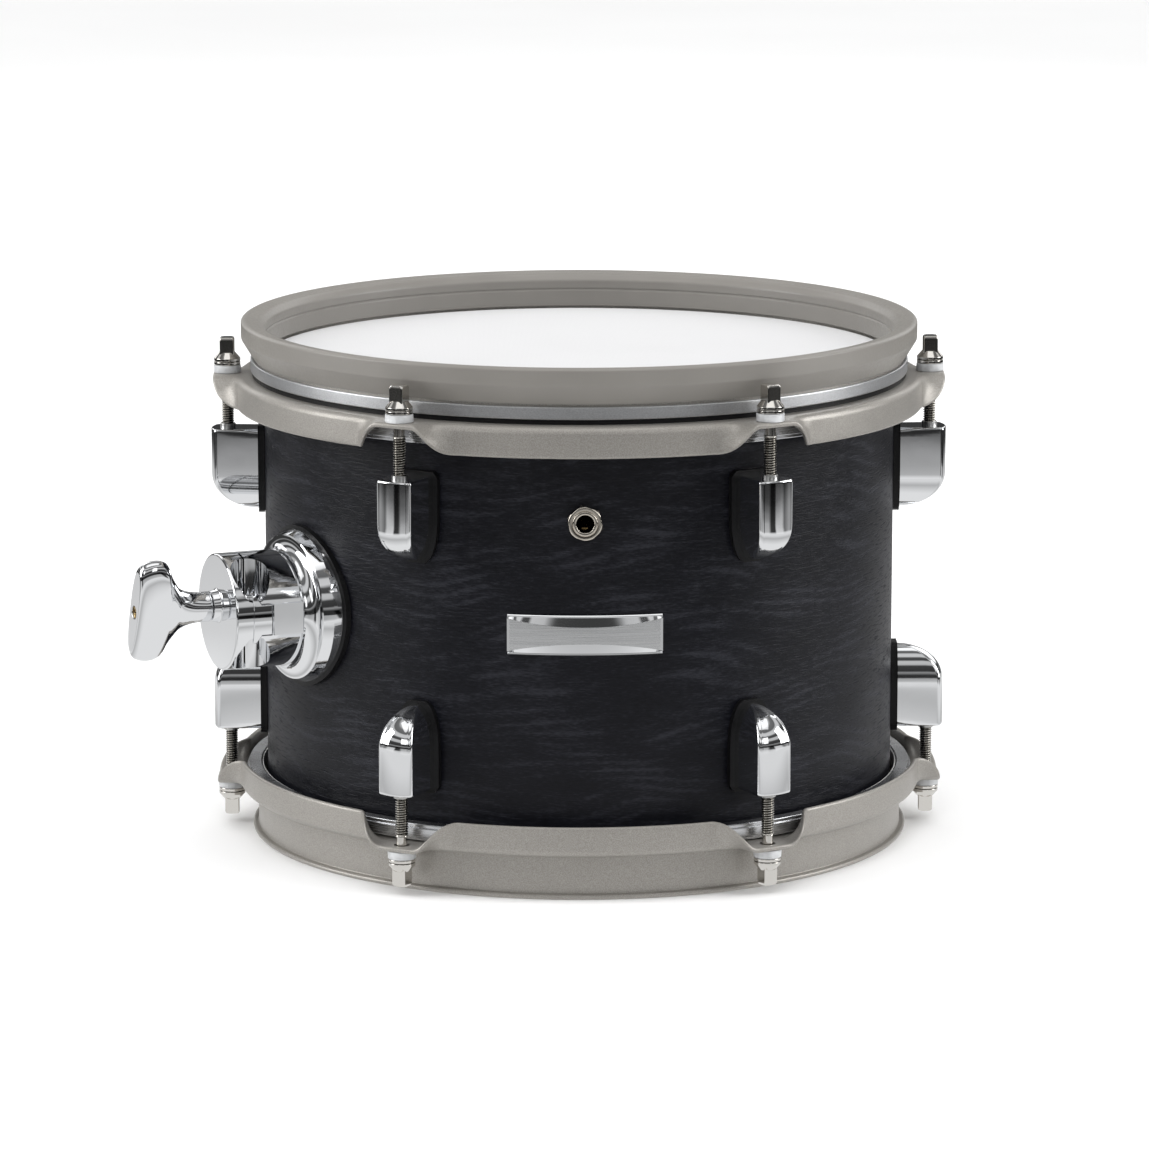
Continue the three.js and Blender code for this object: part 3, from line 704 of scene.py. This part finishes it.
def lug_section(t, inset=0.0):
    """The lug's section below its flat end: flat sides, a crease and a gently crowned front."""
    half, front = lug_outline(t)
    back = LUG.back
    half, front = half - inset, max(front - inset, back + 0.01)
    depth = front - back
    crown = min(LUG.crown, depth * 0.25)
    crease = min(LUG.crease, depth * 0.4, half * 0.3)
    corner = 0.9 * max(0.0, 1 - t / 1.5) ** 2
    side = [(back + (depth - crown - crease) * k, -(half - corner * (1 - k) ** 2))
            for k in np.linspace(0, 1, 6)]
    turn = [(front - crown - crease * (1 - math.sin(a)), -(half - crease * (1 - math.cos(a))))
            for a in np.linspace(0.25, math.pi / 2 - 0.12, 6)]
    face = [(front - crown * k * k, (half - crease) * k) for k in np.linspace(-1, 0, 8)]
    right = [*side, *turn, *face]
    left = [(x, -y) for x, y in reversed(right[:-1])]
    return [(x, y, -t) for x, y in [*right, *left]]


def lug_mesh():
    depths = [(0.0, 0.55), (0.1, 0.3), (0.3, 0.1), (0.6, 0.0)]
    straight, length = LUG.straight, LUG.length
    depths += [(t, 0.0) for t in np.linspace(1.2, straight, 14)]
    depths += [(straight + (length - straight) * math.sin(a), 0.0)
               for a in np.linspace(0, math.pi / 2, 22)[1:]]
    return mesh_of("bullet_lug", skin([lug_section(t, i) for t, i in depths], caps=True), 40)


def gasket_mesh():
    """A rubber pad under a lug, its back following the shell."""
    margin, back, front = GASKET.margin, GASKET.back, GASKET.front
    length = LUG.length
    edge = []
    depths = [*np.linspace(0, 3, 6), *np.linspace(6, length - 4, 8)]
    depths += list(length - 3.6 * np.cos(np.linspace(0.2, 1.5, 6)))
    for t in depths:
        corner = 2.2 * max(0.0, 1 - t / 3.0) ** 2
        edge.append((lug_outline(t, margin)[0] - corner, margin - t * (length + 2 * margin) / length))
    outline = [*edge, *[(-y, z) for y, z in reversed(edge)]]
    sections = []
    for radius, grow in ((back, 0.0), (front - 0.35, 0.0), (front - 0.1, -0.12), (front, -0.35)):
        section = []
        for y, z in outline:
            w = y + math.copysign(grow, y)
            bent = math.sqrt(radius ** 2 - w ** 2) if radius == back else radius
            section.append((bent, w, z))
        sections.append(section)
    return mesh_of("lug_gasket", skin(sections, caps=True), 40)


def tensioners():
    rod, lug, gasket = rod_mesh(), lug_mesh(), gasket_mesh()
    soft = washer_mesh("nylon_washer", 0.0, 3.1, 5.6, 5.4, 2.6)
    hard = washer_mesh("steel_washer", 3.2, 4.5, 5.3, 5.3, 2.5)
    nut = mesh_of("swivel_nut", lathe(eased([(2.7, -6), (3.1, -6), (3.1, 1.7), (2.7, 1.7)],
                                            [0, 0, 0.3, 0.15], 3), SMALL, hollow=True))
    for end, up in zip(ENDS, (1, -1)):
        for where, (x, y, z) in rod_places(end).items():
            name = f"{end}_rod_{where}"
            on_rod = local_axes((x, y, 0), (0, 0, up), (x, y, z))
            on_lug = local_axes((x, y, 0), (0, 0, up), (0, 0, z - up * LUG.drop))
            on_nut = local_axes((x, y, 0), (0, 0, up), (x, y, z - up * LUG.drop))
            piece(f"{name}_steel", rod, "rod_plate", name, [name], on_rod)
            piece(f"{name}_nylon_washer", soft, "nylon", name, (), on_rod)
            piece(f"{name}_steel_washer", hard, "rod_plate", name, (), on_rod)
            node = f"{end}_lug_{where}"
            piece(f"{node}_casting", lug, "chrome", "drum", [node], on_lug)
            node = f"{end}_lug_gasket_{where}"
            piece(f"{node}_pad", gasket, "black_rubber", "drum", [node], on_lug)
            piece(f"{end}_swivel_nut_{where}", nut, "zinc_steel", "drum", (), on_nut)


# ---- Jack and badge ----

def jack():
    low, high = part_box("jack_nut")
    centre = (low + high) / 2 / MM
    front = -high.y / MM
    outward = local_axes((0, 0, 1), (0, -1, 0), (0, high.y / MM, centre.z))
    ring, depth, bushing = JACK.ring, JACK.depth, JACK.bushing
    dome = lathe(eased([(bushing, 0), (ring, 0), (ring, 1.1), (ring - 1.0, depth), (bushing, depth)],
                       [0, 0.2, 0.9, 0.7, 0.2], 5), 72, hollow=True)
    corner = JACK.flats / 2 / math.cos(math.pi / 6)
    angles = [math.radians(JACK.nut_turn) + k * math.pi / 3 for k in range(6)]
    hexes = [[(corner * math.cos(a), corner * math.sin(a), z) for a in angles] for z in (-1.0, depth + 1)]
    mesh = cut("jack_ring_nut", dome, ("INTERSECT", skin(hexes, caps=True)), bevel=0.25)
    piece("jack_ring_nut", mesh, "nickel", "drum", ["jack_nut"], outward)
    bore = JACK.bore
    tube = lathe(eased([(bore, -28), (bushing, -28), (bushing, depth + 0.55), (bore, depth + 0.55)],
                       [0, 0, 0.45, 0.5], 4), 64, hollow=True)
    piece("jack_bushing", mesh_of("jack_bushing", tube), "nickel", "drum", (), outward)
    low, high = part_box("jack_socket")
    sx, sz = (high.x - low.x) / MM / 2, (high.z - low.z) / MM / 2
    deep = front - JACK.body_front
    back = deep + JACK.body_depth
    body = [[(z * sz / sx, x, -d) for x, z in rounded_square(sx - inset, 1.2)]
            for d, inset in ((deep, 0.5), (deep + 0.5, 0.0), (back - 0.5, 0.0), (back, 0.5))]
    mesh = cut("jack_body", skin(body, caps=True), ("DIFFERENCE", bar(bore, -back - 2, 2)))
    piece("jack_body", mesh, "black_plastic", "drum", ["jack_socket"], outward)
    for side in (-1, 1):
        spring = [[(side * (bore - 0.9 + 0.9 * abs(math.cos(t * 2.2))) + k, w, -6 - 16 * t)
                   for k, w in ((0, -1.2), (0.35, -1.2), (0.35, 1.2), (0, 1.2))]
                  for t in np.linspace(0, 1, 12)]
        mesh = mesh_of("jack_contact", skin(spring, caps=True))
        piece(f"jack_contact_{'upper' if side > 0 else 'lower'}", mesh, "brass", "drum", (), outward)


def badge():
    """A curved chrome plate: a thin border, bevels widest at mid-length and a brushed centre panel."""
    low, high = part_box("badge")
    centre = (low.z + high.z) / 2 / MM
    half, tall = BADGE.width / 2, BADGE.height / 2
    back, front, border, bevel = BADGE.back, BADGE.front, BADGE.border, BADGE.bevel
    panel_end = (half - border) / half

    def crease(u):
        """Half-height of the panel at a place along the badge, from -1 to 1."""
        return tall - border - 0.5 - bevel * (1 - abs(u) ** 2.2)

    sections = []
    for u in np.linspace(-1, 1, 61):
        edge = crease(u * panel_end)
        lower = [(-tall, back), (-tall, front - 0.95), (-tall + 0.3, front - 0.65),
                 (-tall + border, front - 0.65), (-tall + border + 0.15, front - 0.75), (-edge, front - 0.02)]
        upper = [(-z, d) for z, d in reversed(lower)]
        heights = [*lower, (-edge + 0.15, front), (edge - 0.15, front), *upper]
        a = half * u / front
        sections.append([(depth * math.sin(a), -depth * math.cos(a), z) for z, depth in heights])
    mesh = mesh_of("badge_plate", skin(sections, caps=True), 18)
    mesh.materials.append(LOOKS["chrome"])
    mesh.materials.append(LOOKS["brushed"])
    for face in mesh.polygons:
        middle = face.center / MM
        along = math.atan2(middle.x, -middle.y) * front / half
        if abs(middle.z) < crease(along) - 0.1 and abs(along) < panel_end:
            face.material_index = 1
    piece("badge_plate", mesh, "chrome", "drum", ["badge"], Matrix.Translation((0, 0, centre)))


# ---- Side clamp ----
# Drawn along local Z, which runs outwards from the shell's face, with X up and Y across.

def clamp_frames():
    """Local axes of the flange, of the body that swings from it and of the bolt: Z outwards, X up."""
    axis = Vector(JOINTS["wing_bolt_turn"]["axis"])
    bolt = Vector(JOINTS["wing_bolt_turn"]["pos_m"]) / MM
    low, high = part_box("clamp_gasket")
    foot = Vector((bolt.x, bolt.y, (low.z + high.z) / 2 / MM))
    flange = Vector((foot.x, foot.y, 0)).normalized()
    up = (0, 0, 1)
    return local_axes(up, flange, foot), local_axes(up, axis, foot), local_axes(up, axis, bolt)


def clamp():
    flange_axes, axes, bolt_axes = clamp_frames()
    front_side = -1 if axes.col[1].y > 0 else 1
    radius = span("shell")[0]
    body, split, end = CLAMP.body, CLAMP.split, CLAMP.end
    arm, gap, inside = CLAMP.arm, CLAMP.gap, CLAMP.tongue_in

    def on_body(shape):
        return moved(shape, axes)

    def upright(shape):
        """Stands a shape that is drawn along Z on the stand arm's line."""
        place = Matrix.Translation((0, front_side * CLAMP.arm_offset, split))
        return on_body(moved(shape, place @ Matrix.Rotation(math.pi / 2, 4, "Y")))

    disc = moved(bar(CLAMP.gasket, -9, 6, 96), flange_axes)
    inner, outer = radius + 0.15, radius + 2.3
    ring = lathe([(inner, -140), (outer, -140), (outer, -40), (inner, -40)], 256, hollow=True)
    mesh = cut("clamp_gasket_pad", disc, ("INTERSECT", ring), bevel=0.5)
    piece("clamp_gasket_pad", mesh, "black_rubber", "drum", ["clamp_gasket"])

    flange, ridge, ridge_at, rise = CLAMP.flange, CLAMP.ridge, CLAMP.ridge_at, CLAMP.flare
    flare = [(body + (ridge - body) * (1 - math.sin(t)), ridge_at + rise * (1 - math.cos(t)))
             for t in np.linspace(0.12, math.pi / 2, 10)]
    dome = lathe([(0, -9), (flange, -9), (flange, CLAMP.edge), (ridge + 0.5, ridge_at - 0.3),
                  (ridge, ridge_at), *flare, (0, ridge_at + rise)], 128)
    barrel = bar(body, 0.5, split - gap, 128)
    seat = bar(radius + 2.4, -200, 20, 320)
    bore, wide = upright(bar(arm, -60, 60, 64)), CLAMP.window
    mouths = upright(merged(*[
        lathe([(0, s * 5.5), (arm, s * 5.5), (wide, s * 7.5), (wide, s * 40), (0, s * 40)], 72)
        for s in (-1, 1)]))
    bolt = moved(bar(CLAMP.bolt + 0.5, 7, 80), bolt_axes)
    side = sorted((front_side * inside, front_side * 40))
    rib = box_tool((-CLAMP.rib, CLAMP.rib), sorted((front_side * 16, front_side * (body + 0.7))), (8.5, 20.8))
    steps = [("UNION", on_body(barrel)), ("UNION", on_body(rib))]
    steps += [("DIFFERENCE", tool) for tool in (seat, bore, mouths, on_body(tongue_prism(side, 0.45)), bolt)]
    mesh = cut("clamp_base_casting", moved(dome, flange_axes), *steps, bevel=0.4, sharp=20)
    piece("clamp_base_casting", mesh, "chrome", "drum", ["clamp_base"])

    low, boss, neck = split + gap, end + CLAMP.boss, HANDLE.neck + 0.6
    profile = [(0, low), (body, low), (body, end), (neck, end), (neck - 0.5, boss), (0, boss)]
    points, faces = lathe(eased(profile, [0, 0.3, 0.9, 0.8, 0.3, 0], 4), 128)
    inward = (body - np.hypot(points[:, 0], points[:, 1])) / (body - neck)
    points[:, 0] += (bolt_axes.translation - axes.translation).z * np.clip(inward, 0, 1)
    steps = [("DIFFERENCE", tool) for tool in (bore, mouths, bolt)]
    mesh = cut("clamp_jaw_casting", on_body((points, faces)), *steps, bevel=0.35, sharp=20)
    piece("clamp_jaw_casting", mesh, "chrome", "clamp_jaw", ["clamp_jaw"])
    outer = body + 0.5
    rim = lathe([(inside, 15), (outer, 15), (outer, 33), (inside, 33)], 160, hollow=True)
    tongue = on_body(tongue_prism(side, 0.0))
    mesh = cut("clamp_jaw_tongue", tongue, ("INTERSECT", on_body(rim)), bevel=0.3, sharp=20)
    piece("clamp_jaw_tongue", mesh, "chrome", "clamp_jaw")
    inner, outer, half = arm - 0.5, arm + 0.02, 5.4
    liner = lathe([(inner, -half), (outer, -half), (outer, half), (inner, half)], 64, hollow=True)
    piece("clamp_bore_liner", mesh_of("clamp_bore_liner", upright(liner)), "black_rubber", "drum")
    wing_bolt(bolt_axes, front_side)


def tongue_prism(side, margin):
    """The jaw's tongue, seen from the front: wide at the jaw, then a straight bar into the base."""
    split = CLAMP.split
    half = [(-9.2, split + 1.5), (-9.2, split), (-6.0, split - 2.0), (-6.0, split - 6.0)]
    outline = [(x - margin, z - (margin if z < split - 5 else 0)) for x, z in half]
    outline += [(-x, z) for x, z in reversed(outline)]
    return skin([[(x, y, z) for x, z in outline] for y in side], caps=True)


def box_tool(x, y, z):
    corners = [(x[0], y[0]), (x[1], y[0]), (x[1], y[1]), (x[0], y[1])]
    return skin([[(a, b, h) for a, b in corners] for h in z], caps=True)


def flat_round(z, reach, half, power):
    """A superellipse at a height: reach up and down, half-thickness across."""
    a = np.linspace(0, 2 * math.pi, 80, endpoint=False)
    x = reach * np.sign(np.cos(a)) * np.abs(np.cos(a)) ** (2 / power)
    y = half * np.sign(np.sin(a)) * np.abs(np.sin(a)) ** (2 / power)
    return np.stack([x, y, np.full_like(a, z)], 1)


def curve(stations, steps=6):
    """A smooth curve through rows of numbers."""
    rows = np.array(stations, float)
    padded = np.concatenate([[2 * rows[0] - rows[1]], rows, [2 * rows[-1] - rows[-2]]])
    points = []
    for p0, p1, p2, p3 in zip(padded, padded[1:], padded[2:], padded[3:]):
        for t in np.arange(steps) / steps:
            points.append(0.5 * (2 * p1 + (p2 - p0) * t + (2 * p0 - 5 * p1 + 4 * p2 - p3) * t ** 2
                                 + (3 * p1 - p0 - 3 * p2 + p3) * t ** 3))
    return [*points, rows[-1]]


def wing_bolt(axes, front_side):
    """A T-shaped handle that flares from a round neck into two rounded wings, on a threaded shank."""
    start = CLAMP.end + CLAMP.boss + CLAMP.gap
    neck, neck_end, wing = HANDLE.neck, HANDLE.neck_end, HANDLE.wing
    end, reach, half = HANDLE.end, HANDLE.span, HANDLE.half
    sections = [flat_round(z, neck - inset, neck - inset, 2.0)
                for z, inset in ((start, 0.5), (start + 0.2, 0.15))]
    outline = [
        (start + 0.6, neck, neck, 2.0), (neck_end, neck, neck, 2.0), (neck_end + 5, neck + 0.7, neck, 2.0),
        (neck_end + 9, neck + 2.6, neck, 2.1), (wing - 3.2, reach * 0.52, half, 2.2),
        (wing - 1.0, reach * 0.70, half, 2.3), (wing + 0.3, reach * 0.85, half, 2.4),
        (wing + 1.8, reach * 0.945, half, 2.4), (wing + 4.6, reach, half, 2.4),
        (end - 5.0, reach * 0.995, half, 2.4), (end - 2.2, reach * 0.95, half - 0.15, 2.4),
        (end - 0.8, reach * 0.89, half - 0.5, 2.4), (end - 0.1, reach * 0.82, half - 1.1, 2.4),
        (end, reach * 0.74, half - 1.7, 2.4),
    ]
    sections += [flat_round(*row) for row in curve(outline)]
    turn = Matrix.Rotation(math.radians(HANDLE.lean) * front_side, 4, "Z")
    socket = moved(bar(HANDLE.socket, end - 3.5, end + 5, 40), axes)
    body = moved(moved(skin(sections, caps=True), turn), axes)
    mesh = cut("wing_handle", body, ("DIFFERENCE", socket), bevel=0.3)
    piece("wing_handle", mesh, "chrome", "wing_bolt", ["wing_bolt"])
    screw = threaded(CLAMP.bolt, CLAMP.bolt_root, CLAMP.bolt_pitch, 9, start + 1, 32)
    piece("wing_screw", mesh_of("wing_screw", moved(screw, axes), 40), "zinc_steel", "wing_bolt")
    wide = HANDLE.screw
    profile = [(0, end - 3.4), (wide, end - 3.4), (wide, end - 0.9), (0, end - 0.7)]
    pin = lathe(eased(profile, [0, 0, 0.4, 0], 3), 40)
    slots = [("DIFFERENCE", box_tool((-a, a), (-b, b), (end - 1.9, end + 2)))
             for a, b in ((0.45, 3), (3, 0.45))]
    piece("wing_end_screw", cut("wing_end_screw", pin, *slots), "brass", "wing_bolt", (), axes)


# ---- Inside the drum ----

def inner_discs():
    """The sensors' pads and discs, with eased edges."""
    for node, look, soft in (("head_sensor_pad", "foam", True), ("head_sensor_disc", "brass", False),
                             ("rim_sensor_pad", "foam", True), ("rim_sensor_disc", "brass", False)):
        low, high = (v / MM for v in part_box(node))
        radius = (high.x - low.x) / 2
        ease = min(0.25, (high.z - low.z) / 4)
        outline = eased([(0, low.z), (radius, low.z), (radius, high.z), (0, high.z)], [0, ease, ease, 0], 3)
        mesh = mesh_of(node + "_fine", lathe(outline, 96))
        matrix = Matrix.Translation(((low.x + high.x) / 2, (low.y + high.y) / 2, 0))
        obj = piece(node + "_fine", mesh, look, "drum", [node], matrix)
    low, high = (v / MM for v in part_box("sensor_foam"))
    outline = eased([(0, low.z), (high.x, low.z), (9.0, high.z), (0, high.z)], [0, 1.2, 2.0, 0], 6)
    obj = piece("sensor_foam_cone", mesh_of("sensor_foam_cone", lathe(outline, 96)), "foam", "drum",
                ["sensor_foam"])


def carried_over():
    """CAD nodes that stay as they are take a finish of their own."""
    for node, look in (("sensor_bridge", "aluminium"), ("clamp_backing_plate", "zinc_steel"),
                       ("sensor_lead", "lead_sheath")):
        slots = frame["nodes"][node].data.materials
        slots.clear()
        slots.append(LOOKS[look])


# ---- Stage ----

def aimed(name, data, azimuth, elevation, distance, target):
    """A camera or a light at an azimuth and elevation, looking at its target."""
    obj = linked(name, data)
    a, e = math.radians(azimuth), math.radians(elevation)
    outward = Vector((math.sin(a) * math.cos(e), -math.cos(a) * math.cos(e), math.sin(e)))
    obj.location = target + outward * distance
    obj.rotation_euler = (-outward).to_track_quat("-Z", "Y").to_euler()
    return obj


def camera():
    data = bpy.data.cameras.new("camera")
    data.lens = CAMERA.lens
    data.sensor_width = 36.0
    data.clip_start = 0.1
    azimuth = math.radians(CAMERA.azimuth)
    right = Vector((math.cos(azimuth), math.sin(azimuth), 0))
    target = Vector((0, 0, CAMERA.target)) - right * CAMERA.aside
    bpy.context.scene.camera = aimed("camera", data, CAMERA.azimuth, CAMERA.pitch, CAMERA.distance, target)


def light(name, azimuth, elevation, distance, size, power):
    data = bpy.data.lights.new(name, "AREA")
    data.shape = "RECTANGLE"
    data.size, data.size_y = size
    data.energy = power
    aimed(name, data, azimuth, elevation, distance, Vector((0, 0, -0.09)))


def stage_object(name, points, faces, material):
    mesh = bpy.data.meshes.new(name)
    mesh.from_pydata(points, [], faces)
    mesh.materials.append(material)
    obj = linked(name, mesh)
    return obj


def reflected_floor(floor_z):
    """A glowing disc seen only in reflections: a painted reflection of a pale floor near the drum, then panels
    with dark gaps.
    """
    glow = bpy.data.materials.new("reflected_floor")
    glow.use_nodes = True
    nodes = Nodes(glow.node_tree)
    distance = nodes.radius()
    near = nodes.greys(distance, (0.0, 0.85), (0.2, 0.85), (0.29, 0.5), (0.36, 0.78), (0.42, 0.78),
                       (0.52, 0.0))
    far = nodes.greys(distance, (0.40, 0.0), (0.52, 0.85), (0.92, 0.7), (1.0, 0.05))
    share = nodes.math("MULTIPLY", nodes.math("ABSOLUTE", nodes.polar()[0]), 1 / math.pi)
    panels = nodes.greys(share, (0.0, 0.5), (0.17, 0.62), (0.2, 0.06), (0.255, 0.05), (0.275, 0.85),
                         (0.37, 0.8), (0.41, 0.2), (0.5, 0.5), (0.58, 0.22), (0.66, 0.85), (0.86, 0.8),
                         (1.0, 0.25))
    light_out = nodes.math("ADD", near, nodes.math("MULTIPLY", far, panels))
    emission = nodes.add("ShaderNodeEmission", _0=light_out)
    nodes.tree.links.new(emission.outputs[0], nodes.tree.nodes["Material Output"].inputs[0])
    nodes.tree.nodes.remove(nodes.tree.nodes["Principled BSDF"])
    points, faces = lathe([(0, 0), *((r / MM, 0) for r in (0.3, 0.6, 1.0, 2.0, 6.0, 14.0))], 64)
    obj = stage_object("reflected_floor", (points * MM + np.array([0, 0, floor_z])).tolist(), faces, glow)
    # Seen only by glossy rays, so it shows as a painted reflection in the metal and lights nothing else.
    obj.visible_camera = obj.visible_diffuse = obj.visible_shadow = obj.visible_transmission = False


def surroundings():
    """Soft boxes and dark gaps in bands of height, for the metal to mirror."""
    world = bpy.data.worlds.new("studio")
    bpy.context.scene.world = world
    world.use_nodes = True
    nodes = Nodes(world.node_tree, "Generated")
    height = nodes.add("ShaderNodeSeparateXYZ", _0=nodes.place).outputs[2]
    tones = nodes.greys(height, (0.0, 0.05), (0.06, 0.35), (0.09, 0.04), (0.24, 0.06), (0.29, 0.6),
                        (0.4, 0.65), (0.44, 0.07), (0.54, 0.09), (0.6, 0.75), (0.72, 0.7), (0.76, 0.15),
                        (0.88, 0.2), (0.93, 0.6), (1.0, 0.5))
    background = nodes.tree.nodes["Background"]
    nodes.tree.links.new(tones, background.inputs[0])
    background.inputs[1].default_value = 0.9


def stage():
    floor_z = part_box("resonant_hoop")[0].z
    paper = Look("studio_paper", (0.93, 0.93, 0.93), 0.85, **{"Specular IOR Level": 0.1})
    paper.set("Base Color", paper.greys(paper.noise(3, 2.0), (0.3, 0.92), (0.7, 0.94)))
    size = 14.0
    corners = [(-size, -size, floor_z), (size, -size, floor_z), (size, size, floor_z), (-size, size, floor_z)]
    floor = stage_object("floor", corners, [(0, 1, 2, 3)], paper.material)
    floor.visible_glossy = False
    reflected_floor(floor_z)
    surroundings()
    sky = bpy.data.lights.new("overhead", "SUN")
    sky.energy = 2.12
    sky.angle = math.radians(70)
    overhead = linked("overhead", sky)
    overhead.rotation_euler = (math.radians(8), math.radians(-4), 0)
    overhead.visible_glossy = False
    for side, sign in (("left", -1), ("right", 1)):
        light(f"side_{side}", sign * 86, 20, 2.3, (1.1, 1.7), 27)
        light(f"back_{side}", sign * 150, 26, 2.6, (0.9, 1.6), 6)
    light("front_left", -26, 19, 2.5, (0.6, 0.8), 2)
    light("front_right", 27, 18, 2.5, (0.5, 0.9), 2)
    light("top", 10, 78, 2.4, (2.0, 1.6), 7)
    bpy.context.scene.view_settings.view_transform = "Standard"


# ---- The drum ----

camera()
shell()
batter = head("batter", 1, "mesh_cloth")
head("resonant", -1, "film")
for end_name, direction in zip(ENDS, (1, -1)):
    flesh_hoop(end_name, direction)
hoops()
rim_cover()
tensioners()
jack()
badge()
clamp()
inner_discs()
carried_over()
stage()
